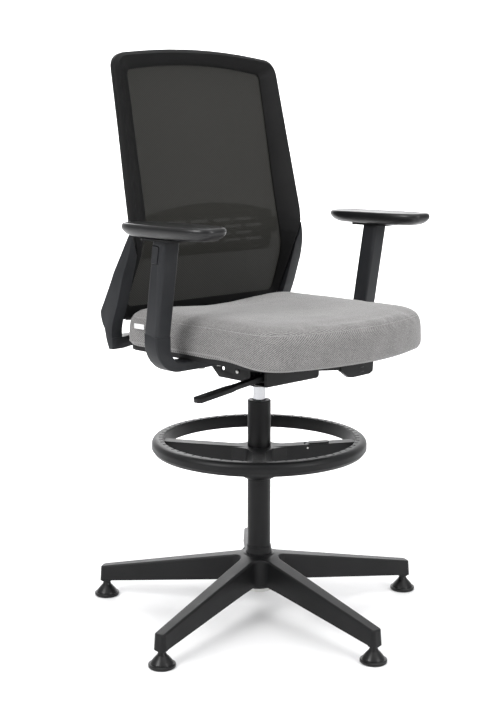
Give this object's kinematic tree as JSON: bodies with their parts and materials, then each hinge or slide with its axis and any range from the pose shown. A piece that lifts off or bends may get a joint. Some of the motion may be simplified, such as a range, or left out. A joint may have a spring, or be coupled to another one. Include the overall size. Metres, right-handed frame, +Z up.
{
  "type": "drafting chair",
  "caption": "Tall swivel work chair with a mesh back, upholstered seat, height-set armrests, a foot ring and a legged base on glides.",
  "frame": {"origin": "on the floor, on the axis of the column", "axes": "+Z up; the sitter faces -Y; +X is the sitter's left"},
  "size_m": [0.7297, 0.7156, 1.209],
  "materials": {
    "arm_pu": "soft polyurethane, low sheen",
    "black_nylon": "fine moulded grain, satin",
    "black_steel": "black powder coat",
    "chrome": "polished chrome",
    "frame_black": "deep black, fine grain",
    "glide_plastic": "smooth satin",
    "grey_black_nylon": "satin charcoal",
    "mesh_fabric": "see-through stretch mesh",
    "seat_board": "moulded black under-shell, fine grain",
    "seat_fabric": "light grey woven cloth",
    "white_acetal": "plain",
    "white_tag": "blank woven tag",
    "zinc_steel": "zinc plated"
  },
  "bodies": {
    "base": {"base_star": "black_nylon", "hub_ferrule": "zinc_steel", "glide_1": "glide_plastic", "glide_2": "glide_plastic", "glide_3": "glide_plastic", "glide_4": "glide_plastic", "glide_5": "glide_plastic", "glide_stems": "zinc_steel", "column_tube": "black_steel", "column_skirt": "black_nylon", "guide_bush": "black_nylon", "lower_race": "zinc_steel", "bearing_balls": "zinc_steel"},
    "rod": {"upper_race": "zinc_steel", "piston_rod": "chrome", "rod_clip": "zinc_steel", "piston": "chrome"},
    "lift": {"gas_cylinder": "chrome", "rod_guide": "white_acetal", "mech_housing": "black_steel", "front_cover": "black_nylon", "seat_axle": "zinc_steel", "recline_axle": "zinc_steel", "tilt_spring": "black_steel", "spring_seat": "zinc_steel"},
    "valve": {"valve_pin": "chrome"},
    "height_handle": {"height_lever": "black_nylon", "height_lever_shaft": "zinc_steel", "valve_tab": "black_steel"},
    "lock_handle": {"lock_lever": "black_nylon", "lock_lever_shaft": "zinc_steel"},
    "seat": {"seat_plate": "black_steel", "seat_board": "seat_board", "seat_cushion": "seat_fabric", "seat_tag": "white_tag", "seat_screws": "zinc_steel", "arm_bolts": "zinc_steel", "arm_bracket_left": "grey_black_nylon", "arm_bracket_right": "grey_black_nylon"},
    "arm_left": {"arm_sleeve_left": "grey_black_nylon", "pad_plate_left": "black_steel", "arm_pad_left": "arm_pu"},
    "arm_right": {"arm_sleeve_right": "grey_black_nylon", "pad_plate_right": "black_steel", "arm_pad_right": "arm_pu"},
    "button_left": {"arm_button_left": "grey_black_nylon"},
    "button_right": {"arm_button_right": "grey_black_nylon"},
    "back": {"back_carrier": "grey_black_nylon", "back_frame": "frame_black", "back_mesh": "mesh_fabric"},
    "lumbar": {"lumbar_support": "frame_black"},
    "ring": {"foot_ring": "black_nylon", "ring_clamp": "black_nylon", "ring_lever_pin": "zinc_steel"},
    "ring_trigger": {"ring_lever": "black_nylon"}
  },
  "joints": [
    {"name": "swivel", "type": "hinge", "parent": "base", "child": "rod", "pos_m": [0, 0, 0.06], "axis": [0, 0, 1], "continuous": true},
    {"name": "seat_lift", "type": "slide", "parent": "rod", "child": "lift", "axis": [0, 0, 1], "range_m": [-0.02, 0.24]},
    {"name": "height_pull", "type": "hinge", "parent": "lift", "child": "height_handle", "pos_m": [-0.06, -0.082, 0.544], "axis": [0, 1, 0], "range_deg": [0, 4], "stiffness_Nm_per_rad": 6, "springref_deg": -1.15},
    {"name": "valve_press", "type": "slide", "parent": "lift", "child": "valve", "axis": [0, 0, -1], "range_m": [0, 0.005]},
    {"name": "lock_pull", "type": "hinge", "parent": "lift", "child": "lock_handle", "pos_m": [0.06, -0.082, 0.544], "axis": [0, -1, 0], "range_deg": [0, 6]},
    {"name": "recline", "type": "hinge", "parent": "lift", "child": "back", "pos_m": [0, 0.045, 0.56], "axis": [-1, 0, 0], "range_deg": [0, 20], "stiffness_Nm_per_rad": 60, "springref_deg": -20.05},
    {"name": "seat_tilt", "type": "hinge", "parent": "lift", "child": "seat", "pos_m": [0, -0.05, 0.572], "axis": [-1, 0, 0], "range_deg": [0, 7]},
    {"name": "arm_height_left", "type": "slide", "parent": "seat", "child": "arm_left", "axis": [0, -0.1582, 0.9874], "range_m": [0, 0.08]},
    {"name": "arm_height_right", "type": "slide", "parent": "seat", "child": "arm_right", "axis": [0, -0.1582, 0.9874], "range_m": [0, 0.08]},
    {"name": "button_press_left", "type": "slide", "parent": "arm_left", "child": "button_left", "axis": [-1, 0, 0], "range_m": [0, 0.0015], "stiffness_N_per_m": 800},
    {"name": "button_press_right", "type": "slide", "parent": "arm_right", "child": "button_right", "axis": [1, 0, 0], "range_m": [0, 0.0015], "stiffness_N_per_m": 800},
    {"name": "lumbar_height", "type": "slide", "parent": "back", "child": "lumbar", "axis": [0, 0, 1], "range_m": [-0.02, 0.02]},
    {"name": "ring_height", "type": "slide", "parent": "base", "child": "ring", "axis": [0, 0, 1], "range_m": [-0.14, 0.07]},
    {"name": "ring_release", "type": "hinge", "parent": "ring", "child": "ring_trigger", "pos_m": [0.07354, -0.07354, 0.37047], "axis": [0.7071, 0.7071, 0], "range_deg": [0, 5], "stiffness_Nm_per_rad": 1.5, "springref_deg": -2.86}
  ],
  "couplings": [
    {"joint": "valve_press", "follows": "height_pull", "m_per_rad": 0.0665},
    {"joint": "seat_tilt", "follows": "recline", "ratio": 0.35}
  ]
}
